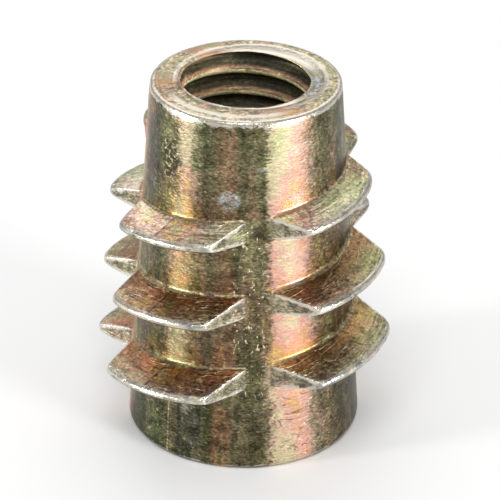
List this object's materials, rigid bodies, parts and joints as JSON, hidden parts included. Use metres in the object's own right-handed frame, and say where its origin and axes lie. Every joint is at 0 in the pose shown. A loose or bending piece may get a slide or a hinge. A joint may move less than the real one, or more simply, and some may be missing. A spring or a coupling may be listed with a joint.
{
  "type": "threaded insert",
  "caption": "Self-tapping threaded insert for wood: tapered cast barrel with a coarse outer thread broken by cutting notches, a machine-threaded bore and a hexagon socket at the drive end.",
  "frame": {"origin": "centre of the drive-end face, on the axis", "axes": "+Z along the axis from the drive end to the lead-in end; -Y is the side with the front cutting notch, seven degrees round from it"},
  "size_m": [0.016, 0.0156, 0.02],
  "materials": {
    "passivated_zinc": "cast zinc with a yellow, iridescent chromate finish, worn to bright grey along its edges"
  },
  "bodies": {
    "root": {"insert_body": "passivated_zinc"}
  },
  "joints": []
}
